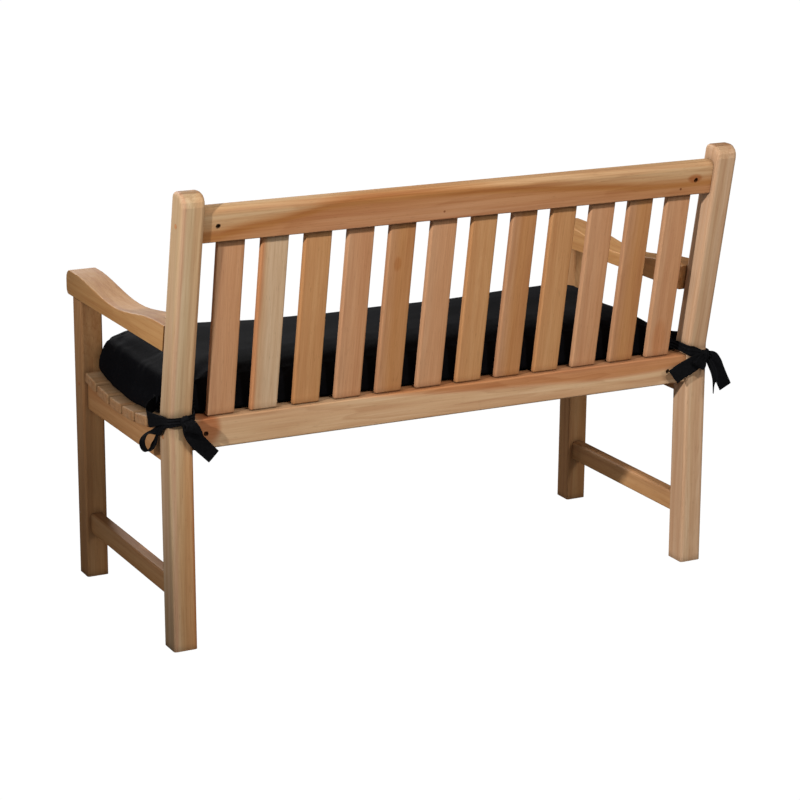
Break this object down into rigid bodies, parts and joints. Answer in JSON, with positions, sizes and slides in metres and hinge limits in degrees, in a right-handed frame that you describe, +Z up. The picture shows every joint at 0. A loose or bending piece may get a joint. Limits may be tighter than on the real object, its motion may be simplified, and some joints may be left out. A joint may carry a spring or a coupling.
{
  "type": "bench cushion tied on a garden bench",
  "caption": "Filled bench cushion with a crowned top, laid on the slatted seat of a wooden garden bench with arms and tied by cloth tapes to the bench's rear posts.",
  "frame": {"origin": "middle of the bounding box, on the floor", "axes": "+X along the bench towards the end that is on the left when seen from behind, +Y towards the back of the bench, +Z up"},
  "size_m": [1.282, 0.6146, 0.899],
  "materials": {
    "teak": "lightly oiled teak, sanded smooth, pale tan with darker orange-brown grain",
    "slat_teak": "lightly oiled teak boards, sanded smooth, pinkish tan",
    "canvas": "tightly woven black outdoor canvas with a soft sheen",
    "tape": "flat woven black tape, matt"
  },
  "bodies": {
    "root": {"rear_post_left": "teak", "rear_post_right": "teak", "front_leg_left": "teak", "front_leg_right": "teak", "arm_left": "teak", "arm_right": "teak", "top_rail": "teak", "lower_back_rail": "teak", "front_slat": "teak", "front_apron": "teak", "side_seat_rail_left": "teak", "side_seat_rail_right": "teak", "seat_middle_bearer": "teak", "side_stretcher_left": "teak", "side_stretcher_right": "teak", "back_slat_01": "slat_teak", "back_slat_02": "slat_teak", "back_slat_03": "slat_teak", "back_slat_04": "slat_teak", "back_slat_05": "slat_teak", "back_slat_06": "slat_teak", "back_slat_07": "slat_teak", "back_slat_08": "slat_teak", "back_slat_09": "slat_teak", "back_slat_10": "slat_teak", "back_slat_11": "slat_teak", "back_slat_12": "slat_teak", "seat_slat_1": "slat_teak", "seat_slat_2": "slat_teak", "seat_slat_3": "slat_teak", "seat_slat_4": "slat_teak", "seat_slat_5": "slat_teak", "seat_slat_6": "slat_teak", "cushion": "canvas", "tie_left_outer": "tape", "tie_left_inner": "tape", "tie_right_outer": "tape", "tie_right_inner": "tape"}
  },
  "joints": []
}
